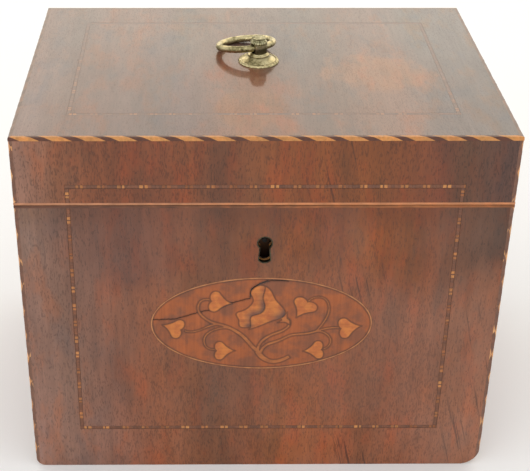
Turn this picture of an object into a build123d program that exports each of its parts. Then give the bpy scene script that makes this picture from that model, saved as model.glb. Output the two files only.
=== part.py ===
from build123d import *

import os
from math import asin, cos, radians, sin, sqrt, tan

# A rectangular tea caddy of about 1790: a veneered wooden case with a hinged lid, line inlay,
# a marquetry oval, a box lock, a ring handle and two lidded, foil-lined compartments.
# The origin is the centre of the underside, +Z is up and -Y is the front, in millimetres.

# ---- Driving dimensions -------------------------------------------------------------------
WIDTH, DEPTH, HEIGHT = 178.0, 130.0, 146.0
LID_HEIGHT = 26.8  # outside height of the lid, seam included
SEAM = 0.25  # air between the case rim and the lid
VENEER = 0.9
CORE = 7.1  # carcass boards of the walls and the lid rails
BOTTOM = 6.5
TOP_CORE = 6.1
RABBET = 3.0  # how deep the side boards sit in the front and back boards

# ---- Line inlay ---------------------------------------------------------------------------
ROPE = 1.4  # square section of the two-colour edging on the corners
RIM_HIGH, RIM_DEEP = 0.9, 2.0  # plain boxwood edging along the seam
CHEQUER_WIDE, CHEQUER_DEEP = 1.5, 0.6
CHEQUER_INSET = 19.2  # from the outer edges to the middle of the chequered line

# ---- Marquetry oval on the front ----------------------------------------------------------
OVAL_Z = 68.4
OVAL_HALF_X, OVAL_HALF_Z = 41.7, 20.75
OVAL_BORDER = 0.8

# ---- Keyhole and lock ---------------------------------------------------------------------
KEY_X, KEY_Z = 0.5, 103.6  # centre of the keyhole's round head, and of the key pin
KEY_HEAD_R = 2.5
KEY_WAIST, KEY_FOOT = 3.2, 4.1  # widths of the slot at its top and bottom
KEY_FOOT_DROP = 8.0  # from the head's centre to the bottom of the slot
ESCUTCHEON_WALL, ESCUTCHEON_DEEP = 0.45, 1.6
LOCK_HALF, LOCK_DROP, LOCK_THICK, LOCK_PLATE = 16.5, 26.0, 5.0, 0.8
SELVEDGE_HALF, SELVEDGE_THICK = 21.0, 1.2
KEY_PIN_R = 0.9
LINK_X = 6.0  # the two links of the lid's plate stand this far either side of the middle
LINK_THICK, LINK_WIDE, LINK_LONG = 1.4, 2.6, 8.8
LINK_LOW, LINK_EYE, LINK_WALL = 0.9, 3.6, 0.55  # metal below, in and beside each link's eye
LINK_PLAY = 0.4
BAR_LEFT, BAR_RIGHT, BAR_HIGH, BAR_THICK = -13.1, 10.5, 3.2, 2.6  # the bolt's bar
HOOK_LONG, HOOK_HIGH, HOOK_THICK, HOOK_NECK = 5.8, 2.2, 1.1, 1.6  # its two hooks
HOOK_CLEAR = 0.6  # between a drawn hook and its link
BIT_NOTCH, BIT_NOTCH_HIGH = 4.4, 1.6  # where the key's bit throws the bolt
SPRING_THICK, SPRING_WIDE = 0.35, 2.0

# ---- Hinges -------------------------------------------------------------------------------
HINGE_X = 52.0
HINGE_LONG = 30.0
KNUCKLE_R, PIN_R = 1.9, 0.8
PIN_FIT, KNUCKLE_FIT = 0.06, 0.2  # radial clearances of the turning knuckle and of its notch
KNUCKLE_OUT = 1.4  # the pin's centre stands this far behind the back
KNUCKLE_PLAY = 0.08  # between the ends of neighbouring knuckles
LEAF, TONGUE = 1.0, 0.3
LEAF_INSET, SCREW_INSET = 0.8, 3.6  # of a leaf's edge and its screws from the inside of the wall
PIN_PROUD = 0.3
STOP_REACH = 2.6  # how far the case knuckles' stop reaches behind the pin's centre
OPEN_ANGLE, STOP_GAP = 100.0, 0.05

# ---- Ring handle --------------------------------------------------------------------------
HANDLE_Y = 4.0  # it stands a little behind the middle of the lid
ROSETTE_R, ROSETTE_HIGH = 8.0, 3.7
NECK_SIDE, NECK_TOP = 5.1, 7.3  # square neck, and the height of its top above the lid
HEAD_R, HEAD_HALF, HEAD_Z = 3.3, 1.9, 7.9
EYE_Z, EYE_R, EYE_TURN = 5.6, 1.85, 26.6  # the eye's axis is turned 26.6 degrees from +X
RING_R, RING_WIRE = 10.7, 1.3
RING_GAP = 0.05  # between the resting ring and the lid
SHANK_R = 1.5
NUT_SIDE, NUT_THICK = 7.0, 2.4

# ---- Inside -------------------------------------------------------------------------------
LEDGE_DROP = 16.2  # the inner lids rest this far below the rim
INNER_LID, INNER_GAP = 5.0, 0.35
FACING, DIVIDER, DIVIDER_TOP = 2.5, 6.0, 2.0
FOIL = 0.4
KNOB_HIGH, KNOB_R = 9.0, 4.0
TANG, TANG_R = 3.0, 1.2  # the peg under a knob

# ---- Worn bottom corners: radius at the front and at the back -----------------------------
WEAR_LEFT, WEAR_RIGHT = (4.0, 2.0), (8.0, 3.0)

# ---- Worked-out positions -----------------------------------------------------------------
HX, HY = WIDTH / 2, DEPTH / 2
CX, CY = HX - VENEER, HY - VENEER  # outside of the carcass
IX, IY = CX - CORE, CY - CORE  # inside of the carcass
RIM_Z = HEIGHT - LID_HEIGHT
LID_Z = RIM_Z + SEAM
CEILING_Z = HEIGHT - VENEER - TOP_CORE
LEDGE_Z = RIM_Z - LEDGE_DROP
AXIS_Y, AXIS_Z = HY + KNUCKLE_OUT, RIM_Z + SEAM / 2
RING_DIP = asin((EYE_Z - RING_WIRE - RING_GAP) / (2 * RING_R))  # slope of the resting ring

parts = {}


def block(x0, x1, y0, y1, z0, z1):
    """A box between two corners."""
    return Pos((x0 + x1) / 2, (y0 + y1) / 2, (z0 + z1) / 2) * Box(x1 - x0, y1 - y0, z1 - z0)


def rod(radius, start, end):
    """A cylinder from one point to another."""
    a, b = Vector(*start), Vector(*end)
    return extrude(Plane(origin=a, z_dir=b - a) * Circle(radius), (b - a).length)


def front_face(sketch, depth, y=-HY):
    """A sketch drawn in X and Z, let into the front from y backwards."""
    return extrude(Plane(origin=(0, y, 0), x_dir=(1, 0, 0), z_dir=(0, -1, 0)) * sketch, -depth)


def mitred_frame(half_x, half_y, wide, z0, z1):
    """Four strips round a rectangle, mitred at the corners."""
    strips = []
    for side in range(4):
        half_long, half_short = (half_x, half_y) if side % 2 == 0 else (half_y, half_x)
        inner = half_long - wide
        outline = Polyline((-half_long, -half_short), (half_long, -half_short), (inner, wide - half_short),
                           (-inner, wide - half_short), close=True)
        strips.append(Pos(0, 0, z0) * Rot(0, 0, 90 * side) * extrude(make_face(outline), z1 - z0))
    return strips


def corner_posts(z0, z1):
    """The two-colour edging on the four upright corners."""
    half = ROPE / 2
    return [Pos(sx * (HX - half), sy * (HY - half), 0) * block(-half, half, -half, half, z0, z1)
            for sx in (-1, 1) for sy in (-1, 1)]


def cut(shape, *tools):
    """The shape less every tool, each of which may be a list."""
    for tool in tools:
        for one in tool if isinstance(tool, list) else [tool]:
            shape = shape - one
    return shape


def wear(shape):
    """Rounds the bottom corners, more at the front than at the back."""
    for side, (front_r, back_r) in ((-1, WEAR_LEFT), (1, WEAR_RIGHT)):
        ends = []
        for y, r in ((-HY, front_r), (HY, back_r)):
            flat, high = (side * (HX - r), 0), (side * HX, r)
            middle = (side * (HX - r + r * sqrt(0.5)), r - r * sqrt(0.5))
            out = side * (HX + 1)  # the cutter overshoots the case by a millimetre
            edge = ThreePointArc(flat, middle, high)
            edge += Polyline(high, (out, r), (out, -1), (side * (HX - r), -1), flat)
            place = Plane(origin=(0, y, 0), x_dir=(1, 0, 0), z_dir=(0, -1, 0))
            ends.append(place * make_face(edge))
        shape = shape - loft(ends, ruled=True)
    return shape


# ---- Line inlay ---------------------------------------------------------------------------
case_rim = mitred_frame(HX, HY, RIM_DEEP, RIM_Z - RIM_HIGH, RIM_Z)
lid_rim = mitred_frame(HX, HY, RIM_DEEP, LID_Z, LID_Z + RIM_HIGH)
case_corners = corner_posts(0, RIM_Z - RIM_HIGH)
lid_corners = corner_posts(LID_Z + RIM_HIGH, HEIGHT - ROPE)
lid_edges = mitred_frame(HX, HY, ROPE, HEIGHT - ROPE, HEIGHT)


def upright_line(x, z0, z1):
    """One upright stretch of chequered line on the front."""
    return block(x - CHEQUER_WIDE / 2, x + CHEQUER_WIDE / 2, -HY, -HY + CHEQUER_DEEP, z0, z1)


def level_line(z, half_x):
    """One level stretch of chequered line on the front."""
    return block(-half_x, half_x, -HY, -HY + CHEQUER_DEEP, z - CHEQUER_WIDE / 2, z + CHEQUER_WIDE / 2)


line_x = HX - CHEQUER_INSET
half_line = CHEQUER_WIDE / 2
case_chequers = [upright_line(s * line_x, CHEQUER_INSET + half_line, RIM_Z - RIM_HIGH) for s in (-1, 1)]
case_chequers.append(level_line(CHEQUER_INSET, line_x + half_line))
lid_line_z = HEIGHT - CHEQUER_INSET
lid_chequers = [upright_line(s * line_x, LID_Z + RIM_HIGH, lid_line_z - half_line) for s in (-1, 1)]
lid_chequers.append(level_line(lid_line_z, line_x + half_line))
top_chequers = mitred_frame(
    line_x + half_line, HY - CHEQUER_INSET + half_line, CHEQUER_WIDE, HEIGHT - CHEQUER_DEEP, HEIGHT)


# ---- Marquetry ----------------------------------------------------------------------------
def leaf(root, tip):
    """A heart-shaped leaf from its notch at the root to its point."""
    ux, uz = tip[0] - root[0], tip[1] - root[1]
    length = sqrt(ux * ux + uz * uz)
    ux, uz = ux / length, uz / length
    # along and across the leaf, as shares of its length
    half = [(1.0, 0.0), (0.72, 0.14), (0.5, 0.34), (0.32, 0.52), (0.1, 0.49), (0.0, 0.27), (0.1, 0.0)]

    def place(points, side):
        return [
            (root[0] + length * (a * ux - side * c * uz), root[1] + length * (a * uz + side * c * ux))
            for a, c in points
        ]

    return make_face(Spline(*place(half, 1)) + Spline(*place(half, -1)))


def stem(points, start_wide, end_wide):
    """A tapering stem along a smooth line."""
    line = Spline(*points)
    count = 2 * len(points)
    sides = {1: [], -1: []}
    for i in range(count + 1):
        t = i / count
        p, d = line @ t, line % t
        half = (start_wide + (end_wide - start_wide) * t) / 2
        for s in sides:
            sides[s].append((p.X - s * d.Y * half, p.Y + s * d.X * half))
    outline = Spline(*sides[1]) + Line(sides[1][-1], sides[-1][-1])
    outline += Spline(*sides[-1][::-1]) + Line(sides[-1][0], sides[1][0])
    return make_face(outline)


# Positions in the oval's own frame: x to the right, z up, from its centre.
LEAVES = [
    ((-19.6, 10.4), (-11.0, 9.2)),
    ((-29.6, -2.8), (-37.4, -0.2)),
    ((-17.6, -12.2), (-9.6, -12.2)),
    ((17.4, 10.6), (12.9, 2.8)),
    ((29.2, -2.3), (37.8, -0.9)),
    ((23.8, -11.7), (16.0, -12.5)),
]
STEMS = [
    # points, width at the start, width at the end
    ([(11.0, -14.9), (8.8, -16.2), (4.6, -17.3), (1.0, -15.6), (-1.2, -12.4)], 1.5, 2.3),
    ([(-0.6, -13.0), (-4.2, -8.9), (-7.2, -5.2), (-10.9, -2.3), (-14.5, -0.5), (-18.7, 0.9), (-21.7, 3.1),
      (-23.7, 6.4), (-23.0, 10.0), (-19.2, 10.8)], 1.7, 0.8),
    ([(-1.1, -13.0), (-0.2, -8.6), (4.0, -4.9), (8.6, -2.6), (10.6, 0.2), (9.6, 2.4)], 1.3, 1.0),
    ([(0.0, -13.2), (2.4, -9.4), (6.7, -7.6), (11.0, -5.2), (17.4, -4.3), (22.6, -2.6), (29.6, -1.8)],
     1.3, 0.8),
    ([(20.5, -3.6), (23.9, 1.9), (25.0, 8.0), (22.9, 11.6), (19.6, 11.9), (17.2, 10.0)], 0.9, 0.7),
    ([(20.0, -3.6), (24.6, -4.5), (26.4, -7.6), (25.5, -10.4), (23.8, -11.4)], 0.9, 0.7),
    ([(-15.2, -0.2), (-19.9, -1.0), (-24.7, -3.2), (-28.9, -2.9)], 0.9, 0.7),
    ([(-11.8, -2.0), (-17.8, -2.6), (-21.4, -6.3), (-20.8, -10.2), (-16.8, -11.4)], 0.9, 0.7),
]
# Each petal's outer edge and the edge that closes it; the front petal lies over the back one.
BACK_PETAL = (
    [(2.0, 15.5), (0.9, 16.9), (-0.6, 17.3), (-2.8, 16.3), (-4.3, 13.9), (-3.3, 11.0), (-4.5, 8.1),
     (-6.9, 6.2), (-9.5, 4.8), (-8.6, 1.9), (-8.2, -0.9), (-5.6, -1.6), (-3.6, -0.8)],
    [(-3.6, -0.8), (1.4, 4.0), (2.0, 10.0), (2.0, 15.5)],
)
FRONT_PETAL = (
    [(1.1, 16.9), (3.5, 14.5), (5.1, 11.0), (8.0, 7.2), (8.9, 5.0), (7.6, 2.9), (4.0, 1.4), (-0.1, -0.6),
     (-4.6, -2.4)],
    [(-4.6, -2.4), (-4.2, 1.2), (-4.0, 3.3), (-0.9, 4.6), (0.9, 6.4), (1.1, 8.6), (0.4, 11.4), (0.8, 14.3),
     (1.1, 16.9)],
)
CALYX = [(9.6, 2.6), (9.5, 5.4), (8.2, 3.6), (6.4, 3.3), (7.6, 1.9), (5.9, 0.6), (8.8, 0.9), (10.8, -0.6),
         (10.6, 1.6)]


def petal(outer, inner):
    """A ruffled petal between its two edges."""
    return make_face(Spline(*outer) + Spline(*inner))


def let_in(sketch):
    """A sketch in the oval's frame, let through the front veneer."""
    return front_face(Pos(0, OVAL_Z) * sketch, VENEER)


leaves = [leaf(*ends) for ends in LEAVES]
front_petal = petal(*FRONT_PETAL)
back_petal = petal(*BACK_PETAL) - front_petal
calyx = cut(make_face(Polyline(*CALYX, close=True)), front_petal)
flower = [front_petal, back_petal, calyx]
stems = Sketch() + [stem(*s) for s in STEMS]
stems = cut(stems, leaves, flower)
oval = Ellipse(OVAL_HALF_X, OVAL_HALF_Z)
oval_inner = Ellipse(OVAL_HALF_X - OVAL_BORDER, OVAL_HALF_Z - OVAL_BORDER)
ground = cut(oval_inner, leaves, flower, stems)


# ---- Keyhole and lock ---------------------------------------------------------------------
def keyhole(grow=0.0):
    """The keyhole's outline: a round head over a slot that widens to a curved foot."""
    foot_z = KEY_Z - KEY_FOOT_DROP
    foot, waist = KEY_FOOT / 2 + grow, KEY_WAIST / 2 + grow
    slot = ThreePointArc((-foot, foot_z + 0.9), (0, foot_z - grow), (foot, foot_z + 0.9))
    slot += Polyline((foot, foot_z + 0.9), (waist, KEY_Z - 2), (waist, KEY_Z), (-waist, KEY_Z),
                     (-waist, KEY_Z - 2), (-foot, foot_z + 0.9))
    return Pos(KEY_X, 0) * (make_face(slot) + Pos(0, KEY_Z) * Circle(KEY_HEAD_R + grow))


lock_y1 = -IY - 0.2  # the lock's back plate is just below the wall's inner face
lock_y0 = lock_y1 - LOCK_THICK
lock_top = RIM_Z - SELVEDGE_THICK
lock_z0 = RIM_Z - LOCK_DROP
link_y = (lock_y0 + lock_y1) / 2
escutcheon_hole = front_face(keyhole(ESCUTCHEON_WALL), ESCUTCHEON_DEEP)
escutcheon = escutcheon_hole - front_face(keyhole(), ESCUTCHEON_DEEP)
key_way = front_face(keyhole(), HY + lock_y0)  # runs through the wall into the lock's room


def lock_block(x0, x1, y0, y1, z0, z1):
    """A box whose x is counted from the middle of the lock."""
    return block(KEY_X + x0, KEY_X + x1, y0, y1, z0, z1)


def screw(x, y, z, down, long=6.0, head_r=1.8, head_deep=1.0, shank_r=0.9):
    """A countersunk wood screw with a slotted head, set in at z and driven down or up."""
    tip_r, slot = 0.35, 0.4
    body = Cone(head_r, shank_r, head_deep, align=(Align.CENTER, Align.CENTER, Align.MIN))
    body += Pos(0, 0, head_deep) * Cone(
        shank_r, tip_r, long - head_deep, align=(Align.CENTER, Align.CENTER, Align.MIN))
    body -= Pos(0, 0, slot / 2) * Box(2 * head_r, slot, slot)
    return Pos(x, y, z) * (Rot(180, 0, 0) * body if down else body)


screw_x = (LOCK_HALF + SELVEDGE_HALF) / 2
lock_screws = [screw(KEY_X + s * screw_x, link_y, RIM_Z, True) for s in (-1, 1)]
plate_screws = [screw(KEY_X + s * screw_x, link_y, LID_Z, False) for s in (-1, 1)]
selvedge_room = lock_block(-SELVEDGE_HALF, SELVEDGE_HALF, -HY + RIM_DEEP, -IY, lock_top, RIM_Z)
plate_room = lock_block(-SELVEDGE_HALF, SELVEDGE_HALF, -HY + RIM_DEEP, -IY, LID_Z, LID_Z + SELVEDGE_THICK)
lock_pocket = lock_block(-LOCK_HALF, LOCK_HALF, lock_y0, -IY, lock_z0, RIM_Z)
inner_x, inner_y0, inner_y1 = LOCK_HALF - LOCK_PLATE, lock_y0 + LOCK_PLATE, lock_y1 - LOCK_PLATE
lock_inside = lock_block(-inner_x, inner_x, inner_y0, inner_y1, lock_z0 + LOCK_PLATE, lock_top)
lock_case = lock_block(-LOCK_HALF, LOCK_HALF, lock_y0, lock_y1, lock_z0, lock_top) - lock_inside
lock_case -= front_face(keyhole(), LOCK_PLATE, lock_y0)
key_pin = rod(KEY_PIN_R, (KEY_X, inner_y1, KEY_Z), (KEY_X, lock_y0 - 0.4, KEY_Z))
selvedge = cut(selvedge_room, lock_screws)

# The lid's plate with two links, which drop through the selvedge's slots.
link_tip = LID_Z - LINK_LONG
link_plate = cut(plate_room, plate_screws)
slot_half, eye_half = LINK_THICK / 2 + LINK_PLAY, LINK_WIDE / 2 - LINK_WALL
for s in (-1, 1):
    middle = s * LINK_X
    selvedge -= lock_block(middle - slot_half, middle + slot_half, inner_y0, inner_y1, lock_top, RIM_Z)
    link = lock_block(middle - LINK_THICK / 2, middle + LINK_THICK / 2,
                      link_y - LINK_WIDE / 2, link_y + LINK_WIDE / 2, link_tip, LID_Z)
    link_plate += link - lock_block(middle - LINK_THICK, middle + LINK_THICK, link_y - eye_half,
                                    link_y + eye_half, link_tip + LINK_LOW, link_tip + LINK_LOW + LINK_EYE)

# The bolt: a bar with two hooks that slide through the links, and a notch for the key's bit.
bar_top = link_tip - 0.35
bar_z0, bar_y0, bar_y1 = bar_top - BAR_HIGH, link_y - BAR_THICK / 2, link_y + BAR_THICK / 2
hook_y0, hook_y1 = link_y - HOOK_THICK / 2, link_y + HOOK_THICK / 2
hook_z0 = link_tip + LINK_LOW + (LINK_EYE - HOOK_HIGH) / 2
hook_z1 = hook_z0 + HOOK_HIGH
bolt = lock_block(BAR_LEFT, BAR_RIGHT, bar_y0, bar_y1, bar_z0, bar_top)
bolt -= lock_block(-BIT_NOTCH / 2, BIT_NOTCH / 2, bar_y0, bar_y1, bar_z0, bar_z0 + BIT_NOTCH_HIGH)
for s in (-1, 1):
    tip = s * LINK_X - LINK_THICK / 2 - HOOK_CLEAR
    root = tip - HOOK_LONG
    bolt += lock_block(root, root + HOOK_NECK, hook_y0, hook_y1, bar_top, hook_z1)
    bolt += lock_block(root, tip, hook_y0, hook_y1, hook_z0, hook_z1)

# A leaf spring from the case's end wall, which rubs on the bar.
spring_line = ThreePointArc((KEY_X + 10.0, bar_top + 0.2), (KEY_X + 12.2, bar_top + 0.75),
                            (KEY_X + inner_x + 0.2, bar_top + 3.6))
spring = front_face(trace(spring_line, SPRING_THICK), SPRING_WIDE, link_y - SPRING_WIDE / 2) & lock_inside


# ---- Hinges -------------------------------------------------------------------------------
def along_axis(radius, x0, x1):
    """A cylinder on the lid's axis."""
    return rod(radius, (x0, AXIS_Y, AXIS_Z), (x1, AXIS_Y, AXIS_Z))


def leaf_plate(x, z0, z1):
    """The flat of one hinge leaf, let into the edge of the wood."""
    edge_y = AXIS_Y - KNUCKLE_R - TONGUE
    return block(x - HINGE_LONG / 2, x + HINGE_LONG / 2, IY + LEAF_INSET, edge_y, z0, z1)


def knuckle(x0, x1, z0, z1, bore):
    """A length of knuckle, with the tongue that joins it to its leaf."""
    tongue = block(x0, x1, AXIS_Y - KNUCKLE_R - TONGUE, AXIS_Y, z0, z1)
    return along_axis(KNUCKLE_R, x0, x1) + tongue - along_axis(bore, x0, x1)


def stop(x0, x1):
    """A shoulder behind a case knuckle, whose sloping top meets the lid's back at the full opening."""
    lean = radians(OPEN_ANGLE - 90)
    rise = (KNUCKLE_OUT - STOP_GAP) / cos(lean)  # height of the sloping top at the pin's centre
    outline = Polyline((0, rise), (STOP_REACH, rise - STOP_REACH * tan(lean)), (STOP_REACH, -0.2),
                       (1.2, -1.4), (0, -1.4), close=True)
    place = Plane(origin=(x0, AXIS_Y, AXIS_Z), x_dir=(0, 1, 0), z_dir=(1, 0, 0))
    return extrude(place * make_face(outline), x1 - x0) - along_axis(KNUCKLE_R - 0.2, x0, x1)


def hinge(x):
    """One butt hinge at x: the case leaf, the lid leaf, the pin and the screws of each leaf."""
    third = HINGE_LONG / 3
    case_z, lid_z = (RIM_Z - LEAF, RIM_Z), (LID_Z, LID_Z + LEAF)
    case_leaf, lid_leaf = leaf_plate(x, *case_z), leaf_plate(x, *lid_z)
    for side in (-1, 1):
        x0, x1 = sorted((x + side * (third / 2 + KNUCKLE_PLAY), x + side * HINGE_LONG / 2))
        case_leaf += knuckle(x0, x1, *case_z, PIN_R + 0.01) + stop(x0, x1)
    lid_leaf += knuckle(x - third / 2 + KNUCKLE_PLAY, x + third / 2 - KNUCKLE_PLAY, *lid_z, PIN_R + PIN_FIT)
    pin = along_axis(PIN_R, x - HINGE_LONG / 2 - PIN_PROUD, x + HINGE_LONG / 2 + PIN_PROUD)
    places = [x - third, x, x + third]
    case_screws = [screw(place, IY + SCREW_INSET, RIM_Z, True) for place in places]
    lid_screws = [screw(place, IY + SCREW_INSET, LID_Z, False) for place in places]
    return cut(case_leaf, case_screws), cut(lid_leaf, lid_screws), pin, case_screws, lid_screws


hinges = {"left": hinge(-HINGE_X), "right": hinge(HINGE_X)}
case_leaves = [h[0] for h in hinges.values()]
lid_leaves = [h[1] for h in hinges.values()]
case_hinge_screws = [one for h in hinges.values() for one in h[3]]
lid_hinge_screws = [one for h in hinges.values() for one in h[4]]
notch_end = HINGE_LONG / 2 + 0.4
notches = [along_axis(KNUCKLE_R + KNUCKLE_FIT, x - notch_end, x + notch_end) for x in (-HINGE_X, HINGE_X)]
# The edging along the seam stops on both sides of each hinge.
rim_breaks = [block(x - HINGE_LONG / 2, x + HINGE_LONG / 2, HY - RIM_DEEP, HY, RIM_Z - LEAF, LID_Z + LEAF)
              for x in (-HINGE_X, HINGE_X)]

# ---- Case ---------------------------------------------------------------------------------
case_lines = case_rim + case_corners
hinge_room = case_leaves + notches + case_hinge_screws
lock_room = [lock_pocket, selvedge_room, key_way, escutcheon_hole] + lock_screws
parts["bottom_board"] = wear(cut(block(-CX, CX, -CY, CY, 0, BOTTOM), case_corners))
front_board = block(-CX, CX, -CY, -IY, BOTTOM, RIM_Z)
back_board = block(-CX, CX, IY, CY, BOTTOM, RIM_Z)
side_boards = {
    s: block(*sorted((s * IX, s * CX)), -IY - RABBET, IY + RABBET, BOTTOM, RIM_Z) for s in (-1, 1)
}
rabbets = list(side_boards.values())
parts["front_wall"] = wear(cut(front_board, rabbets, case_lines, lock_room))
parts["back_wall"] = wear(cut(back_board, rabbets, case_lines, hinge_room))
parts["left_wall"] = wear(cut(side_boards[-1], case_lines))
parts["right_wall"] = wear(cut(side_boards[1], case_lines))
veneer_z1 = RIM_Z - RIM_HIGH
vx, vy = HX - ROPE, HY - ROPE
parts["front_veneer"] = wear(
    cut(block(-vx, vx, -HY, -CY, 0, veneer_z1), case_chequers, let_in(oval), escutcheon_hole))
parts["back_veneer"] = wear(cut(block(-vx, vx, CY, HY, 0, veneer_z1), notches, case_leaves))
parts["left_veneer"] = wear(block(-HX, -CX, -vy, vy, 0, veneer_z1))
parts["right_veneer"] = wear(block(CX, HX, -vy, vy, 0, veneer_z1))
parts["case_corner_stringing"] = [wear(c) for c in case_corners]
parts["case_rim_stringing"] = [cut(s, rim_breaks, notches) for s in case_rim]
parts["case_chequer_line"] = case_chequers
parts["oval_border"] = let_in(oval - oval_inner)
parts["oval_ground"] = let_in(ground)
parts["inlay_leaves"] = [let_in(s) for s in leaves]
parts["inlay_flower"] = [let_in(s) for s in flower]
parts["inlay_stems"] = let_in(stems)
parts["keyhole_escutcheon"] = escutcheon
parts["lock_case"] = lock_case
parts["lock_selvedge"] = selvedge
parts["lock_key_pin"] = key_pin
parts["lock_bolt"] = bolt
parts["bolt_spring"] = spring
parts["lock_screws"] = lock_screws
parts["hinge_pins"] = [h[2] for h in hinges.values()]
parts["case_hinge_screws"] = case_hinge_screws
parts["lid_hinge_screws"] = lid_hinge_screws
for side, h in hinges.items():
    parts[f"{side}_hinge_case_leaf"] = h[0]
    parts[f"{side}_hinge_lid_leaf"] = h[1]

# ---- Compartments -------------------------------------------------------------------------
def foil(x0, x1, half_y):
    """An open-topped tray of thin foil."""
    tray = block(x0, x1, -half_y, half_y, BOTTOM, LEDGE_Z - FOIL)
    return tray - block(x0 + FOIL, x1 - FOIL, -half_y + FOIL, half_y - FOIL, BOTTOM + FOIL, LEDGE_Z)


def inner_lid(x0, x1):
    """A loose lid's panel, eased along its upper edges, and its turned knob."""
    top, middle = LEDGE_Z + INNER_LID, (x0 + x1) / 2
    panel = block(x0, x1, -IY + INNER_GAP, IY - INNER_GAP, LEDGE_Z, top)
    panel = fillet(panel.edges().group_by(Axis.Z)[-1], 0.6)
    outline = Polyline((0, -TANG), (TANG_R, -TANG), (TANG_R, 0), (3.0, 0), (3.0, 0.8), (1.9, 1.6), (1.6, 3.2))
    outline += Spline((1.6, 3.2), (3.5, 4.6), (KNOB_R, 6.3), (2.9, 8.4), (0, KNOB_HIGH),
                      tangents=((0.6, 1), (-1, 0)))
    outline += Line((0, KNOB_HIGH), (0, -TANG))
    knob = Pos(middle, 0, top) * revolve(Plane.XZ * make_face(outline), Axis.Z)
    return panel - rod(TANG_R, (middle, 0, top - TANG), (middle, 0, top)), knob


divider = block(-DIVIDER / 2, DIVIDER / 2, -IY, IY, BOTTOM, LEDGE_Z)
divider += block(-DIVIDER_TOP / 2, DIVIDER_TOP / 2, -IY, IY, LEDGE_Z, LEDGE_Z + INNER_LID + 0.4)
parts["compartment_divider"] = divider
facings = []
near, far, room_y = DIVIDER / 2, IX - FACING, IY - FACING
for side, s in (("left", -1), ("right", 1)):
    room_x = sorted((s * near, s * far))
    facings.append(block(*sorted((s * far, s * IX)), -IY, IY, BOTTOM, LEDGE_Z))
    facings.append(block(*room_x, -IY, -room_y, BOTTOM, LEDGE_Z))
    facings.append(block(*room_x, room_y, IY, BOTTOM, LEDGE_Z))
    parts[f"{side}_foil_lining"] = foil(*room_x, room_y)
    panel, knob = inner_lid(*sorted((s * (DIVIDER_TOP / 2 + INNER_GAP), s * (IX - INNER_GAP))))
    parts[f"{side}_inner_lid"] = panel
    parts[f"{side}_inner_knob"] = knob
parts["compartment_facings"] = facings

# ---- Lid ----------------------------------------------------------------------------------
lid_lines = lid_rim + lid_corners + lid_edges
lid_hinge_room = lid_leaves + notches + lid_hinge_screws
shank_hole = rod(SHANK_R, (0, HANDLE_Y, CEILING_Z), (0, HANDLE_Y, HEIGHT))
parts["lid_top_board"] = cut(block(-CX, CX, -CY, CY, CEILING_Z, HEIGHT - VENEER), lid_lines, shank_hole)
rail_front = block(-CX, CX, -CY, -IY, LID_Z, CEILING_Z)
rail_back = block(-CX, CX, IY, CY, LID_Z, CEILING_Z)
rail_sides = {
    s: block(*sorted((s * IX, s * CX)), -IY - RABBET, IY + RABBET, LID_Z, CEILING_Z) for s in (-1, 1)
}
rail_rabbets = list(rail_sides.values())
parts["lid_front_rail"] = cut(rail_front, rail_rabbets, lid_lines, plate_room, plate_screws)
parts["lid_back_rail"] = cut(rail_back, rail_rabbets, lid_lines, lid_hinge_room)
parts["lid_left_rail"] = cut(rail_sides[-1], lid_lines)
parts["lid_right_rail"] = cut(rail_sides[1], lid_lines)
lid_v0, lid_v1 = LID_Z + RIM_HIGH, HEIGHT - ROPE
parts["lid_front_veneer"] = cut(block(-vx, vx, -HY, -CY, lid_v0, lid_v1), lid_chequers)
parts["lid_back_veneer"] = cut(block(-vx, vx, CY, HY, lid_v0, lid_v1), notches, lid_leaves)
parts["lid_left_veneer"] = block(-HX, -CX, -vy, vy, lid_v0, lid_v1)
parts["lid_right_veneer"] = block(CX, HX, -vy, vy, lid_v0, lid_v1)
parts["lid_top_veneer"] = cut(block(-vx, vx, -vy, vy, HEIGHT - VENEER, HEIGHT), top_chequers, shank_hole)
parts["lid_corner_stringing"] = lid_corners
parts["lid_edge_stringing"] = lid_edges
parts["lid_rim_stringing"] = [cut(s, rim_breaks, notches) for s in lid_rim]
parts["lid_front_chequer_line"] = lid_chequers
parts["lid_top_chequer_line"] = top_chequers
parts["lock_link_plate"] = link_plate
parts["link_plate_screws"] = plate_screws

# ---- Ring handle --------------------------------------------------------------------------
turn = radians(EYE_TURN)
eye_dir = Vector(cos(turn), sin(turn), 0)
eye = Vector(0, HANDLE_Y, HEIGHT + EYE_Z)
rosette_z, neck_z, head_z = HEIGHT + ROSETTE_HIGH, HEIGHT + NECK_TOP, HEIGHT + HEAD_Z
shank_z = CEILING_Z - NUT_THICK - 1.0
shank = rod(SHANK_R, (0, HANDLE_Y, shank_z), (0, HANDLE_Y, rosette_z))
neck = block(-NECK_SIDE / 2, NECK_SIDE / 2, -NECK_SIDE / 2, NECK_SIDE / 2, rosette_z, head_z)
neck = Pos(0, HANDLE_Y, 0) * Rot(0, 0, EYE_TURN) * fillet(neck.edges().filter_by(Axis.Z), 0.7)
head_base = neck_z - head_z
head_profile = Spline((HEAD_R * 0.85, head_base), (HEAD_R, 0), (HEAD_R * 0.72, HEAD_HALF * 0.69),
                      (0, HEAD_HALF), tangents=((0.5, 1), (-1, 0)))
head_profile += Polyline((0, HEAD_HALF), (0, head_base), (HEAD_R * 0.85, head_base))
head = Pos(0, HANDLE_Y, head_z) * revolve(Plane.XZ * make_face(head_profile), Axis.Z)
parts["handle_post"] = shank + neck + head - rod(EYE_R, eye - eye_dir * 6, eye + eye_dir * 6)
rosette_profile = Polyline((SHANK_R, 0), (ROSETTE_R, 0), (ROSETTE_R, 0.5))
rosette_profile += Spline((ROSETTE_R, 0.5), (7.2, 1.0), (5.0, 1.7), (3.9, 2.6), (3.4, ROSETTE_HIGH))
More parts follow.
